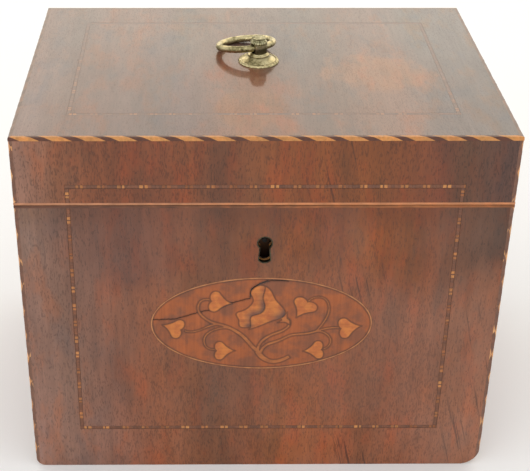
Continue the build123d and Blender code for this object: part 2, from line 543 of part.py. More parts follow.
rosette_profile += Polyline((3.4, ROSETTE_HIGH), (SHANK_R, ROSETTE_HIGH), (SHANK_R, 0))
parts["handle_rosette"] = Pos(0, HANDLE_Y, HEIGHT) * revolve(Plane.XZ * make_face(rosette_profile), Axis.Z)
nut = block(-NUT_SIDE / 2, NUT_SIDE / 2, -NUT_SIDE / 2, NUT_SIDE / 2, CEILING_Z - NUT_THICK, CEILING_Z)
parts["handle_nut"] = Pos(0, HANDLE_Y, 0) * (fillet(nut.edges().filter_by(Axis.Z), 0.6) - rod(
    SHANK_R, (0, 0, CEILING_Z - NUT_THICK), (0, 0, CEILING_Z)))
away = Vector(-sin(turn), cos(turn), 0)
centre = eye + away * (RING_R * cos(RING_DIP)) - Vector(0, 0, RING_R * sin(RING_DIP))
ring_axis = away * sin(RING_DIP) + Vector(0, 0, cos(RING_DIP))
parts["handle_ring"] = Plane(origin=centre, z_dir=ring_axis) * Torus(RING_R, RING_WIRE)

# ---- Write every sub-part -----------------------------------------------------------------
os.makedirs("parts", exist_ok=True)
for name, shape in parts.items():
    solids = []
    for piece in shape if isinstance(shape, list) else [shape]:
        solids.extend(piece.solids())
    export_step(solids[0] if len(solids) == 1 else Compound(children=solids), f"parts/{name}.step")
print(len(parts), "parts")
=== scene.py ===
import math
import random

import bmesh
import bpy
import numpy as np
from mathutils import Matrix, Vector, kdtree, noise
from mathutils.geometry import delaunay_2d_cdt


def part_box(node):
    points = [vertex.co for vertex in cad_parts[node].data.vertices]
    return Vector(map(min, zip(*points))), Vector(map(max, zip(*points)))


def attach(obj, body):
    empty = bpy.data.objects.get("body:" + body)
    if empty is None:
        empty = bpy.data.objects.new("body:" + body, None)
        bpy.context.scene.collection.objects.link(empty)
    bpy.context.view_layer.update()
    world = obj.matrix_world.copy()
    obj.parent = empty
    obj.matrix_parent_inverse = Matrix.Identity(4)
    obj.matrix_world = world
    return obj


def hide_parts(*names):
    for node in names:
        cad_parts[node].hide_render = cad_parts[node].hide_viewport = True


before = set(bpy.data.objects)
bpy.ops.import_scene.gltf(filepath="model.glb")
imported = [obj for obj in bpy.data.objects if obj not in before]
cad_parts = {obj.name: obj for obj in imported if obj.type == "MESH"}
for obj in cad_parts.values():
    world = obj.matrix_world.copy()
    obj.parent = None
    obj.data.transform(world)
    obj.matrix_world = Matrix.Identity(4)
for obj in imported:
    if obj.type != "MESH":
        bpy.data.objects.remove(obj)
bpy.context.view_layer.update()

MM = 0.001

# ---- Sizes, from the frame ----
edge_low, edge_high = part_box("lid_edge_stringing")
HX, HY, TOP_Z = edge_high
ROPE = edge_high.z - edge_low.z  # square section of the two-colour edging
RIM_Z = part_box("case_rim_stringing")[1].z
LINE_WIDE, LINE_DEEP = 1.5 * MM, 0.6 * MM  # the chequered line
VENEER = 0.9 * MM
X, Y, Z = Vector((1, 0, 0)), Vector((0, 1, 0)), Vector((0, 0, 1))


# ---- Node trees ----
def tint(red, green, blue):
    """A colour from display values of 0 to 255."""
    linear = []
    for value in (red, green, blue):
        value /= 255
        linear.append(value / 12.92 if value <= 0.04045 else ((value + 0.055) / 1.055) ** 2.4)
    return (*linear, 1.0)


class Shader:
    """One material: its Principled shader and the nodes that feed it."""

    def __init__(self, name, **constants):
        self.material = bpy.data.materials.new(name)
        self.material.use_nodes = True
        self.tree = self.material.node_tree
        self.surface = self.tree.nodes["Principled BSDF"]
        for socket, value in constants.items():
            self.surface.inputs[socket.replace("_", " ")].default_value = value
        self.place = self.node("TexCoord", {}, "Object")

    def node(self, kind, inputs, output=0, **settings):
        new = self.tree.nodes.new("ShaderNode" + kind)
        for key, value in settings.items():
            setattr(new, key, value)
        for key, value in inputs.items():
            if isinstance(value, bpy.types.NodeSocket):
                self.tree.links.new(value, new.inputs[key])
            else:
                new.inputs[key].default_value = value
        return new.outputs[output]

    def finished(self, colour, rough=None, normal=None, coat_normal=None):
        """The material, once its surface has what feeds it."""
        feeds = {"Base Color": colour, "Roughness": rough, "Normal": normal, "Coat Normal": coat_normal}
        for socket, value in feeds.items():
            if value is not None:
                self.tree.links.new(value, self.surface.inputs[socket])
        return self.material

    def mapped(self, vector, scale=(1, 1, 1), turn=(0, 0, 0), shift=(0, 0, 0)):
        turn = tuple(math.radians(a) for a in turn)
        return self.node("Mapping", {"Vector": vector, "Scale": scale, "Rotation": turn, "Location": shift})

    def noise(self, vector, scale, detail=2.0, rough=0.5, bend=0.0):
        return self.node("TexNoise", {"Vector": vector, "Scale": scale, "Detail": detail,
                                      "Roughness": rough, "Distortion": bend}, "Fac")

    def fibres(self, place, stretch, detail=2.0, rough=0.5, shift=(0, 0, 0), bend=0.0):
        """Noise with its own scale along each axis."""
        return self.noise(self.mapped(place, stretch, shift=shift), 1.0, detail, rough, bend)

    def range(self, value, low, high, out_low=0.0, out_high=1.0, kind="SMOOTHSTEP"):
        return self.node("MapRange", {"Value": value, "From Min": low, "From Max": high, "To Min": out_low,
                                      "To Max": out_high}, "Result", interpolation_type=kind)

    def linear(self, value, low, high, out_low=0.0, out_high=1.0):
        return self.range(value, low, high, out_low, out_high, "LINEAR")

    def split(self, vector):
        return self.node("SeparateXYZ", {"Vector": vector}).node.outputs

    def math(self, operation, a, b=0.0):
        return self.node("Math", {0: a, 1: b}, operation=operation)

    def add(self, a, b):
        return self.math("ADD", a, b)

    def times(self, a, b):
        return self.math("MULTIPLY", a, b)

    def ramp(self, value, stops):
        new = self.tree.nodes.new("ShaderNodeValToRGB")
        self.tree.links.new(value, new.inputs[0])
        points = new.color_ramp.elements
        while len(points) < len(stops):
            points.new(0.5)
        for point, (position, colour) in zip(points, sorted(stops)):
            point.position = position
            point.color = colour
        return new.outputs[0]

    def mix(self, share, a, b, blend="MIX"):
        return self.node("Mix", {0: share, 6: a, 7: b}, 2, data_type="RGBA", blend_type=blend)

    def tinted(self, colour, factor):
        """A colour times a factor for each of red, green and blue."""
        return self.mix(1.0, colour, (*factor, 1), "MULTIPLY")

    def scaled(self, colour, factor):
        """A colour times a grey factor."""
        return self.node("VectorMath", {0: colour, "Scale": factor}, operation="SCALE")

    def bump(self, height, depth, before=None):
        """A bump of that depth in millimetres, on top of another."""
        inputs = {"Height": height, "Distance": depth * MM, "Strength": 1.0}
        if before is not None:
            inputs["Normal"] = before
        return self.node("Bump", inputs, "Normal")


# ---- Wood ----
# What the eye sees of a veneer is its own colour times the light, plus the gloss over it.
# Each gloss is a pair, for the low and the high end of a veneer.
FRONT_GLOSS, FRONT_LIGHT = ((0.040, 0.040, 0.040), (0.040, 0.040, 0.040)), 0.97
TOP_GLOSS, TOP_LIGHT = ((0.240, 0.216, 0.178), (0.290, 0.268, 0.228)), 1.2
GRAIN_TURN = {"Z": (0, 0, 0), "Y": (90, 0, 0), "side": (0, 0, -90), "X": (0, 90, 0)}
FLAME, CLOUD = (1.30, 0.92, 0.62), (0.72, 0.84, 1.02)
# grey of the painted sheen: clouds that stand in for the polish's reflection of the soft light
SHEEN_HAZE = (150, 128, 117)


def under_gloss(colour, veil, light):
    """The wood's own colour, from what shows through its polish."""
    seen = tint(*colour)[:3]
    return tuple(max(value - over, 0.004) / light for value, over in zip(seen, veil)) + (1.0,)


def broad_bands(s, place, half, low, high, blend, gloss, light, seed):
    """Bands across the grain that wander a little along it, from the low set to the high one."""
    drift = s.fibres(place, (28, 28, 7), shift=(seed, seed, seed))
    across = s.add(s.split(place)["X"], s.linear(drift, 0.2, 0.8, -5.5 * MM, 5.5 * MM))
    share = s.linear(across, -half, half)
    sets = []
    for stops, veil in zip((low, high), gloss):
        places = [((x * MM + half) / (2 * half), under_gloss(c, veil, light)) for x, c in stops]
        sets.append(s.ramp(share, places))
    height = s.add(s.split(place)["Z"], s.linear(s.noise(place, 26.0), 0.3, 0.7, -8 * MM, 8 * MM))
    return s.mix(s.range(height, *blend), *sets)


def patch(s, place, colour, middle, half, own):
    """A patch of another colour with a ragged outline, from its middle and its two half sizes."""
    (x, z), (wide, tall) = middle, half
    reach = s.mapped(place, (1 / wide, 0.0, 1 / tall), shift=(-x / wide, 0, -z / tall))
    far = s.node("VectorMath", {0: reach}, "Value", operation="LENGTH")
    rags = s.noise(s.mapped(place, (1, 1, 0.45)), 95.0, 4.0)
    inside = s.range(s.add(far, s.linear(rags, 0.3, 0.7, -0.38, 0.38)), 1.05, 0.62)
    return s.mix(s.times(inside, 0.85), colour, own)


def figure(s, place, colour, fibre, mottle, flames, seed):
    """Figure, fibre and mottle, then orange-red flames and grey-brown clouds."""
    curl = s.fibres(place, (210, 210, 26), 4.0, 0.6, (seed, 0, 0), 0.5)
    factor = s.times(s.linear(curl, 0.25, 0.75, 0.80, 1.20), s.linear(fibre, 0.2, 0.8, 0.84, 1.16))
    colour = s.scaled(colour, s.times(factor, s.linear(mottle, 0.25, 0.75, 0.91, 1.09)))
    flame = s.fibres(place, (120, 120, 48), 4.0, 0.6, (0, 0, seed))
    colour = s.mix(s.range(flame, 0.48, 0.70, 0, flames), colour, s.tinted(colour, FLAME))
    cloudy = s.fibres(place, (90, 90, 40), 4.0, 0.6, (seed, 9, seed))
    return s.mix(s.range(cloudy, 0.50, 0.70, 0, flames), colour, s.tinted(colour, CLOUD))


def open_pores(s, place, amount, seed):
    """Short dashes along the grain, thicker in some places, and longer grooves among them."""
    crowd = s.range(s.fibres(place, (30, 30, 12), shift=(seed, seed, 0)), 0.3, 0.7, -0.035, 0.035)
    dash = s.fibres(place, (2700, 2700, 720), 1.0, 0.4)
    short = s.range(s.add(dash, crowd), 0.56, 0.68, 0.0, min(1.0, 0.85 * amount))
    long_dash = s.fibres(place, (1900, 1900, 330), 1.0, 0.4, (3, 1, 2))
    groove = s.range(s.add(long_dash, crowd), 0.62, 0.74, 0.0, min(1.0, 0.8 * amount))
    return s.math("MAXIMUM", short, groove)


def slanting_streaks(s, place, amount, seed):
    """Dark streaks a little across the grain, in some zones of the right half."""
    slanted = s.mapped(place, turn=(0, 14, 0))
    crack = s.fibres(slanted, (900, 900, 26), shift=(7, 0, seed))
    zone = s.range(s.fibres(place, (24, 24, 16), shift=(seed, 2, 1)), 0.50, 0.66, 0, amount)
    right = s.range(s.split(place)["X"], -6 * MM, 22 * MM)
    return s.times(s.range(crack, 0.60, 0.68), s.times(zone, right))


def wood(name, grain, low, high, blend, half=HX, gloss=FRONT_GLOSS, light=FRONT_LIGHT, pores=1.0,
         seed=0.0, streaks=0.0, sheen_haze=0.0, patches=(), rough=0.34, coat=0.68, flames=0.7, shading=()):
    """Veneer with its grain along Z of the turned place. Between the two heights of blend, the low set
    of bands gives way to the high one. Each of shading is two heights and the factor that the colour
    grows to between them."""
    s = Shader(name, IOR=1.5, Specular_IOR_Level=0.18, Coat_Weight=coat, Coat_Roughness=0.08)
    place = s.mapped(s.place, turn=GRAIN_TURN[grain])
    fibre = s.fibres(place, (1500, 1500, 75), 3.0, 0.65)
    mottle = s.noise(s.mapped(place, (1, 1, 0.5), shift=(0, seed, 0)), 110.0, 4.0, 0.65)
    colour = broad_bands(s, place, half, low, high, blend, gloss, light, seed)
    for middle, half_sizes, seen in patches:
        colour = patch(s, place, colour, middle, half_sizes, under_gloss(seen, gloss[0], light))
    colour = figure(s, place, colour, fibre, mottle, flames, seed)
    dark = open_pores(s, place, pores, seed)
    colour = s.mix(s.times(dark, 0.56), colour, s.scaled(colour, 0.28))
    if streaks:
        mark = slanting_streaks(s, place, streaks, seed)
        colour = s.mix(s.times(mark, 0.8), colour, s.scaled(colour, 0.25))
        dark = s.math("MAXIMUM", dark, mark)
    # painted sheen: grey clouds in place of the polish's reflection
    if sheen_haze:
        cloud = s.noise(s.mapped(place, (1, 1, 0.5), shift=(1, 5, 2)), 38.0, 4.0, 0.6)
        colour = s.mix(s.range(cloud, 0.38, 0.72, 0, sheen_haze), colour, tint(*SHEEN_HAZE))
    height = s.add(s.split(place)["Z"], s.linear(mottle, 0.3, 0.7, -2 * MM, 2 * MM))
    # shading tints the colour by height: on the front, darker towards the rim, and a painted reflection of
    # the soft light towards the foot
    for start, end, factor in shading:
        colour = s.mix(s.range(height, start, end), colour, s.tinted(colour, factor))
    dull = s.add(s.range(mottle, 0.2, 0.8, rough - 0.05, rough + 0.09), s.times(dark, 0.25))
    ground = s.bump(s.noise(s.mapped(place, (1, 1, 0.5)), 55.0), 0.10)
    fine = s.bump(s.math("SUBTRACT", s.times(fibre, 0.25), dark), 0.035, ground)
    return s.finished(colour, dull, fine, ground)


def bands(*stops):
    """(millimetres across, red, green, blue) for each stop."""
    return [(x, colour) for x, *colour in stops]


# The pale grey stops at the left end of the front and lid bands hold a painted reflection of the soft light.
BODY_LOW = bands(
    (-86, 143, 110, 97), (-72, 131, 101, 88), (-61, 131, 95, 81), (-50, 137, 93, 75), (-39, 143, 93, 71),
    (-27, 129, 88, 69), (-17, 121, 84, 67), (-7, 126, 84, 66), (5, 141, 90, 65), (27, 146, 91, 66),
    (38, 133, 88, 68), (50, 138, 91, 71), (62, 138, 93, 74), (72, 139, 95, 75), (84, 143, 98, 78))
BODY_HIGH = bands(
    (-86, 140, 111, 98), (-72, 127, 94, 81), (-60, 117, 85, 74), (-50, 113, 81, 71), (-38, 125, 84, 69),
    (-28, 131, 85, 66), (-17, 120, 82, 66), (-6, 119, 80, 62), (5, 126, 81, 58), (16, 133, 83, 57),
    (27, 129, 81, 56), (38, 138, 86, 58), (50, 131, 84, 61), (60, 132, 84, 64), (70, 115, 82, 67),
    (84, 102, 79, 69))
LID_BANDS = bands(
    (-86, 153, 117, 102), (-72, 137, 94, 74), (-60, 131, 85, 66), (-50, 124, 81, 64), (-40, 126, 82, 65),
    (-28, 138, 87, 65), (-17, 117, 80, 65), (-6, 129, 86, 66), (5, 137, 88, 64), (16, 135, 85, 61),
    (38, 132, 84, 60), (50, 130, 83, 63), (60, 120, 79, 65), (70, 103, 78, 66), (84, 104, 79, 71))
TOP_FRONT = bands(
    (-86, 182, 159, 146), (-72, 173, 151, 137), (-52, 171, 149, 136), (-38, 163, 146, 135),
    (-28, 167, 147, 136), (-17, 180, 148, 129), (-5, 182, 148, 127), (5, 179, 148, 129),
    (16, 170, 150, 136), (27, 172, 151, 136), (38, 184, 156, 138), (50, 184, 156, 139), (60, 172, 154, 142),
    (84, 164, 152, 142))
TOP_BACK = bands(
    (-86, 188, 166, 153), (-72, 177, 162, 151), (-60, 186, 165, 152), (-50, 190, 167, 153),
    (-38, 185, 165, 153), (-28, 177, 164, 152), (-15, 184, 165, 151), (0, 183, 164, 151),
    (16, 174, 163, 153), (27, 178, 164, 152), (38, 186, 166, 153), (50, 188, 168, 155), (61, 178, 168, 158),
    (84, 178, 168, 159))
SIDE_BANDS = bands(
    (-64, 128, 88, 70), (-45, 139, 91, 68), (-30, 124, 82, 64), (-16, 134, 88, 66), (0, 143, 92, 67),
    (14, 126, 84, 66), (30, 137, 89, 66), (46, 128, 86, 69), (64, 120, 84, 70))

# front shading: darker towards the rim; lighter and bluer towards the foot, a painted reflection of the soft
# light
front_wood = wood("mahogany_front", "Z", BODY_LOW, BODY_HIGH, (82 * MM, 98 * MM), streaks=1.0, sheen_haze=0.12,
                  seed=1.3, shading=((RIM_Z - 13 * MM, RIM_Z - 2 * MM, (0.84, 0.76, 0.66)),
                                     (46 * MM, 14 * MM, (1.17, 1.20, 1.26))))
lid_front_wood = wood("mahogany_lid_front", "Z", LID_BANDS, LID_BANDS, (0.12, 0.14), pores=1.1, streaks=0.8,
                      seed=4.1)
top_wood = wood("mahogany_top", "Y", TOP_FRONT, TOP_BACK, (-18 * MM, 28 * MM), gloss=TOP_GLOSS,
                light=TOP_LIGHT, pores=0.5, seed=2.7, flames=1.0,
                patches=[((47 * MM, -8 * MM), (21 * MM, 20 * MM), (196, 158, 132)),
                         ((-5 * MM, -46 * MM), (15 * MM, 24 * MM), (187, 148, 122))])
side_wood = wood("mahogany_side", "side", SIDE_BANDS, SIDE_BANDS, (0.04, 0.09), HY, sheen_haze=0.1, seed=6.2)
back_wood = wood("mahogany_back", "Z", BODY_LOW, LID_BANDS, (0.05, 0.12), sheen_haze=0.15, seed=8.8)
inner_wood = wood("mahogany_inner", "Y", BODY_LOW, BODY_LOW, (-0.05, 0.05), seed=3.3, rough=0.42, coat=0.2)
PALE = bands(
    (-86, 176, 132, 90), (-40, 167, 122, 82), (0, 180, 136, 92), (40, 170, 126, 86), (86, 178, 134, 92))
board_wood = wood("carcass_upright", "X", PALE, PALE, (0.0, 0.1), pores=0.5, rough=0.6, coat=0.0, seed=5.0)
deck_wood = wood("carcass_level", "X", PALE, PALE, (-0.02, 0.02), pores=0.5, rough=0.6, coat=0.0, seed=9.0)


EVEN = (900, 900, 900)
POLISHED = {"rough": 0.34, "coat": 0.68, "coat_rough": 0.08}
RUBBED = {"worn": (0.8, 1.15), "rough": 0.34, "coat": 0.6, "coat_rough": 0.1}


def stringing(name, colour, faint=None, along=EVEN, worn=(0.75, 1.15), rough=0.36, coat=0.3, coat_rough=0.2,
              fade_across=None):
    """A thin slip of close-grained wood, with its fibres stretched by the three factors of along. The mesh
    says how far each slip keeps its colour, down to faint, or else the last argument does: the two places
    across the front between which the slip goes from faint to its full colour, darker towards the left."""
    s = Shader(name, IOR=1.5, Specular_IOR_Level=0.2, Coat_Weight=coat, Coat_Roughness=coat_rough)
    fibre = s.fibres(s.place, along, 3.0, 0.6)
    blotch = s.noise(s.place, 260.0, 3.0, 0.6)
    factor = s.times(s.linear(fibre, 0.25, 0.75, *worn), s.linear(blotch, 0.3, 0.7, 0.86, 1.14))
    own = s.mix(s.range(blotch, 0.4, 0.7, 0, 0.4), tint(*colour), s.tinted(tint(*colour), (1.1, 0.82, 0.6)))
    own = s.scaled(own, factor)
    if faint:
        if fade_across:
            ragged = s.linear(blotch, 0.3, 0.7, -16 * MM, 16 * MM)
            tone = s.range(s.add(s.split(s.place)["X"], ragged), *fade_across)
        else:
            tone = s.node("Attribute", {}, "Fac", attribute_name="tone")
        own = s.mix(tone, s.scaled(tint(*faint)[:3], factor), own)
    return s.finished(own, s.range(fibre, 0.2, 0.8, rough, rough + 0.15), s.bump(fibre, 0.02))


rope_light = stringing("rope_light_wood", (198, 138, 78), (150, 92, 56), worn=(0.72, 1.25))
rope_dark = stringing("rope_dark_wood", (90, 56, 44), (108, 68, 50))
side_rope_light = stringing("worn_rope_light_wood", (140, 100, 76), (112, 82, 68), **RUBBED)
side_rope_dark = stringing("worn_rope_dark_wood", (90, 64, 54), (104, 76, 64), **RUBBED)
post_light = stringing("post_light_wood", (212, 158, 106), (168, 118, 84), worn=(0.72, 1.25))
post_dark = stringing("post_dark_wood", (114, 80, 65), (126, 92, 76))
line_light = stringing("line_light_wood", (200, 138, 82), (140, 86, 54), worn=(0.7, 1.2))
line_dark = stringing("line_dark_wood", (96, 66, 52))
line_brown = stringing("line_brown_wood", (128, 84, 62), (110, 74, 58), (400, 400, 1500))
top_light = stringing("top_line_light_wood", (176, 118, 78), (120, 88, 76), worn=(0.7, 1.2), **POLISHED)
top_dark = stringing("top_line_dark_wood", (100, 70, 56), (108, 82, 73), **POLISHED)
top_brown = stringing("top_line_brown_wood", (122, 86, 66), (112, 85, 77), (1500, 60, 1500), **POLISHED)
# both rim strings are fainter towards the left end of the front
rim_wood = stringing("boxwood_edging", (186, 124, 84), (172, 118, 86), (220, 220, 1400), (0.8, 1.25),
                     fade_across=(-60 * MM, 10 * MM))
case_rim_wood = stringing("darker_boxwood_edging", (150, 92, 52), (100, 64, 48), (120, 120, 900), (0.6, 1.3),
                          fade_across=(-70 * MM, 60 * MM))


def marquetry(name, light, scorched, reach=0.5, edge_dark=0.32, ground=False):
    """Inlay wood in two light colours, dark along its edges for reach millimetres. The mesh says how far each
    point is from the piece's edge, and how far it turns to the dark colour: the sand-scorching of the flower,
    and the dark in and along the ground's crack."""
    s = Shader(name, IOR=1.5, Specular_IOR_Level=0.28, Coat_Weight=0.45, Coat_Roughness=0.13)
    edge = s.node("Attribute", {}, "Fac", attribute_name="edge")
    shade = s.node("Attribute", {}, "Fac", attribute_name="shade")
    grain = (1100, 1100, 60) if ground else (90, 90, 900)
    fibre = s.noise(s.mapped(s.place, grain, turn=(0, 24 if ground else 8, 0)), 1.0, 3.0, 0.6)
    cloud = s.noise(s.place, 120.0 if ground else 260.0, 4.0, 0.6)
    own = s.mix(s.range(cloud, 0.38, 0.64), *(tint(*colour) for colour in light))
    own = s.mix(shade, own, tint(*scorched))
    factor = s.times(s.linear(fibre, 0.25, 0.75, 0.82, 1.16), s.range(edge, 0.0, reach, edge_dark, 1.0))
    wave = s.bump(s.noise(s.mapped(s.place, (1, 1, 0.6)), 60.0), 0.12)
    dull = s.range(cloud, 0.3, 0.7, 0.3, 0.42)
    return s.finished(s.scaled(own, factor), dull, s.bump(fibre, 0.015, wave), wave)


ground_wood = marquetry("oval_ground_wood", ((160, 84, 38), (126, 72, 44)), (40, 22, 14), 0.7, 0.5, True)
border_wood = marquetry("oval_border_wood", ((190, 124, 74), (164, 100, 60)), (90, 50, 30), 0.34, 0.22)
leaf_wood = marquetry("inlay_leaf_wood", ((196, 116, 52), (176, 96, 46)), (84, 52, 36))
petal_wood = marquetry("inlay_petal_wood", ((196, 116, 52), (172, 92, 42)), (78, 58, 54))
stem_wood = marquetry("inlay_stem_wood", ((168, 98, 48), (148, 84, 44)), (90, 50, 28), 0.4, 0.35)


# ---- Metal ----
def fluted(s, flutes, tarnish_and_shade, height):
    """Chased flutes, given as their axis's x and y, their lowest z and their count, with grime in the cuts,
    and painted shade on the neck below them."""
    centre_x, centre_y, lowest, count = flutes
    x, y, z = s.split(s.place)
    around = s.math("ARCTAN2", s.math("SUBTRACT", x, centre_x), s.math("SUBTRACT", y, centre_y))
    ridge = s.math("ABSOLUTE", s.math("SINE", s.times(around, count / 2)))
    cut = s.times(s.range(ridge, 0.45, 0.05), s.range(z, lowest, lowest + 0.6 * MM))
    tarnish_and_shade = s.math("MAXIMUM", tarnish_and_shade, s.times(cut, 0.8))
    # painted shade on the neck under the chased head, darker further below it
    below = s.range(z, lowest - 0.4 * MM, lowest - 1.4 * MM, 0, 0.85)
    return s.math("MAXIMUM", tarnish_and_shade, below), s.math("SUBTRACT", height, s.times(cut, 1.4))


def metal(name, bright, dull, dirt_and_shade, rough, pit=0.05, grime=0.5, fine=900.0, flutes=None):
    """Metal with tarnish in its low places, and fluted where that is asked for, with painted shade below the
    flutes.
    """
    s = Shader(name, Metallic=1.0, IOR=1.45)
    broad = s.noise(s.place, 190.0, 4.0, 0.65)
    small = s.noise(s.place, fine, 3.0, 0.6)
    both = s.add(s.times(broad, 0.55), s.times(small, 0.45))
    colour = s.mix(s.range(both, 0.40, 0.60), tint(*bright), tint(*dull))
    low = s.node("NewGeometry", {}, "Pointiness")
    tarnish_and_shade = s.math("MAXIMUM", s.range(low, 0.5, 0.44), s.range(both, 0.53, 0.66, 0, grime))
    height = both
    if flutes:
        tarnish_and_shade, height = fluted(s, flutes, tarnish_and_shade, height)
    roughness = s.range(both, 0.35, 0.65, rough - 0.08, rough + 0.2)
    return s.finished(s.mix(tarnish_and_shade, colour, tint(*dirt_and_shade)), roughness, s.bump(height, pit))


post_low, post_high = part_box("handle_post")
post_middle = (post_low + post_high) / 2
CHASED = 3.0 * MM  # height of the post's fluted head
cast_brass = metal("handle_cast_brass", (204, 190, 146), (150, 140, 100), (58, 50, 28), 0.30, 0.10, 0.75)
# its flutes bring painted shade onto the neck under the head
post_brass = metal("handle_post_brass", (196, 188, 150), (148, 142, 106), (62, 54, 32), 0.34, 0.16, 0.85,
                   flutes=(post_middle.x, post_middle.y, post_high.z - CHASED, 22))
plain_brass = metal("sheet_brass", (206, 176, 112), (168, 140, 86), (84, 66, 40), 0.30, 0.02, 0.4)
black_brass = metal("blackened_brass", (92, 84, 66), (58, 54, 46), (22, 20, 18), 0.42, 0.05, 0.7)
dark_steel = metal("blackened_steel", (44, 42, 40), (30, 28, 26), (18, 14, 12), 0.55, 0.03, 0.5)
steel = metal("aged_steel", (150, 148, 144), (112, 106, 100), (74, 52, 38), 0.42, 0.03, 0.5)


def foil_material():
    """Dull lead foil with darker spots."""
    s = Shader("tea_foil_lead", Metallic=1.0, IOR=1.45)
    broad = s.noise(s.place, 120.0, 4.0, 0.6)
    small = s.noise(s.place, 900.0, 3.0, 0.6)
    colour = s.mix(s.range(broad, 0.36, 0.66), tint(176, 176, 172), tint(118, 116, 112))
    colour = s.mix(s.range(small, 0.60, 0.68, 0, 0.6), colour, tint(84, 78, 70))
    return s.finished(colour, s.range(broad, 0.3, 0.7, 0.3, 0.5), s.bump(s.add(small, broad), 0.08))


foil_metal = foil_material()

# ---- Finishes of the nodes that show as they are ----
FINISHES = {
    front_wood: ["front_veneer"],
    lid_front_wood: ["lid_front_veneer"],
    top_wood: ["lid_top_veneer"],
    side_wood: ["left_veneer", "right_veneer", "lid_left_veneer", "lid_right_veneer"],
    back_wood: ["back_veneer", "lid_back_veneer"],
    inner_wood: ["compartment_divider", "left_inner_lid", "right_inner_lid"],
    board_wood: ["front_wall", "back_wall", "left_wall", "right_wall", "compartment_facings",
                 "lid_front_rail", "lid_back_rail", "lid_left_rail", "lid_right_rail"],
    deck_wood: ["bottom_board", "lid_top_board"],
    rim_wood: ["lid_rim_stringing"],
    case_rim_wood: ["case_rim_stringing"],
    plain_brass: ["lock_selvedge", "lock_link_plate", "hinge_pins", "handle_nut", "lock_screws",
                  "link_plate_screws", "case_hinge_screws", "lid_hinge_screws", "left_inner_knob",
                  "right_inner_knob", *(f"{side}_hinge_{part}_leaf" for side in ("left", "right")
                                        for part in ("case", "lid"))],
    black_brass: ["keyhole_escutcheon"],
    post_brass: ["handle_post"],
    steel: ["lock_case", "lock_bolt", "bolt_spring"],
    dark_steel: ["lock_key_pin"],
}
for finish, names in FINISHES.items():
    for node_name in names:
        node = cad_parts[node_name]
        node.data.materials.clear()
        node.data.materials.append(finish)


# ---- Pieces ----
def added(name, data):
    """A new object in the scene."""
    new = bpy.data.objects.new(name, data)
    bpy.context.scene.collection.objects.link(new)
    return new


def piece(name, bm, body, replaced, materials, smooth=False):
    """A new object on a body, in place of a CAD node."""
    mesh = bpy.data.meshes.new(name)
    bm.to_mesh(mesh)
    bm.free()
    for material in materials:
        mesh.materials.append(material)
    if smooth:
        mesh.shade_smooth()
    obj = added(name, mesh)
    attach(obj, body)
    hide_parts(replaced)


def cleaned(bm):
    """Drops empty faces and turns the normals outward."""
    bmesh.ops.dissolve_degenerate(bm, edges=bm.edges, dist=1e-7)
    bmesh.ops.recalc_face_normals(bm, faces=bm.faces)
    return bm


def tone_layer(bm):
    """What share of its own colour each point keeps, for the materials."""
    return bm.verts.layers.float.get("tone") or bm.verts.layers.float.new("tone")


def open_edges(bm):
    return [edge for edge in bm.edges if edge.is_boundary]


def walls(bm):
    """Extrudes the open edges and returns the new vertices, to be put in their places."""
    grown = bmesh.ops.extrude_edge_only(bm, edges=open_edges(bm))["geom"]
    return [vert for vert in grown if isinstance(vert, bmesh.types.BMVert)]


rng = random.Random(11)
LIGHT, DARK, BROWN = 0, 1, 2  # places in a piece's list of materials

# ---- Two-colour edging ----
LID_PERIOD, POST_PERIOD = 11.35 * MM, 10.9 * MM  # one light and one dark slip
LIGHT_SHARE = 0.60
SLANT = 2.0  # how far a joint runs along the lid's edging for each unit across it
TAPER = 4.4  # the same for the light slips of a post, which narrow away from its arris
ROUND = 0.34 * MM  # worn outer arris
SLICES = 9  # sections along a slip
HAIR = 0.02 * MM


def section():
    """Outline of the edging's section: distances inward over its two showing faces."""
    points = [(ROPE, 0.0), (ROPE * 0.6, 0.0)]
    for i in range(5):
        angle = math.radians(90 * i / 4)
        points.append((ROUND * (1 - math.sin(angle)), ROUND * (1 - math.cos(angle))))
    return points + [(0.0, ROPE * 0.6), (0.0, ROPE), (ROPE * 0.6, ROPE), (ROPE, ROPE)]


SECTION = section()


def slanting(a, b):
    """How far both joints of a light slip are shifted at a point of the lid's edging."""
    return SLANT * (b - a), SLANT * (b - a)


def tapering(a, b):
    """How far the two joints of a light slip are shifted at a point of a post."""
    return TAPER * max(a, b), -TAPER * max(a, b)


def worn_point(axes, s, a, b):
    """The place of a point of the section, s along the arris, rubbed away most at the arris."""
    corner, along, side_a, side_b = axes
    point = corner + along * s
    worn = 0.0
    if a < ROPE * 0.7 and b < ROPE * 0.7:
        near = 1.0 if a < ROUND and b < ROUND else 0.25
        worn = max((noise.noise(point * 420) + 0.6) * 0.07 * MM * near, 0.0)
    return point + side_a * (a + worn) + side_b * (b + worn)


def slip(bm, rows, index, tone):
    """One slip of edging through the rows of points of its sections."""
    layer = tone_layer(bm)
    loops = [[bm.verts.new(point) for point in row] for row in rows]
    for vert in (v for loop in loops for v in loop):
        vert[layer] = tone
    faces = []
    for first, second in zip(loops, loops[1:]):
        for k in range(len(first)):
            nxt = (k + 1) % len(first)
            faces.append(bm.faces.new((first[k], first[nxt], second[nxt], second[k])))
    faces += [bm.faces.new(loops[0][::-1]), bm.faces.new(loops[-1])]
    for face in faces:
        face.material_index = index


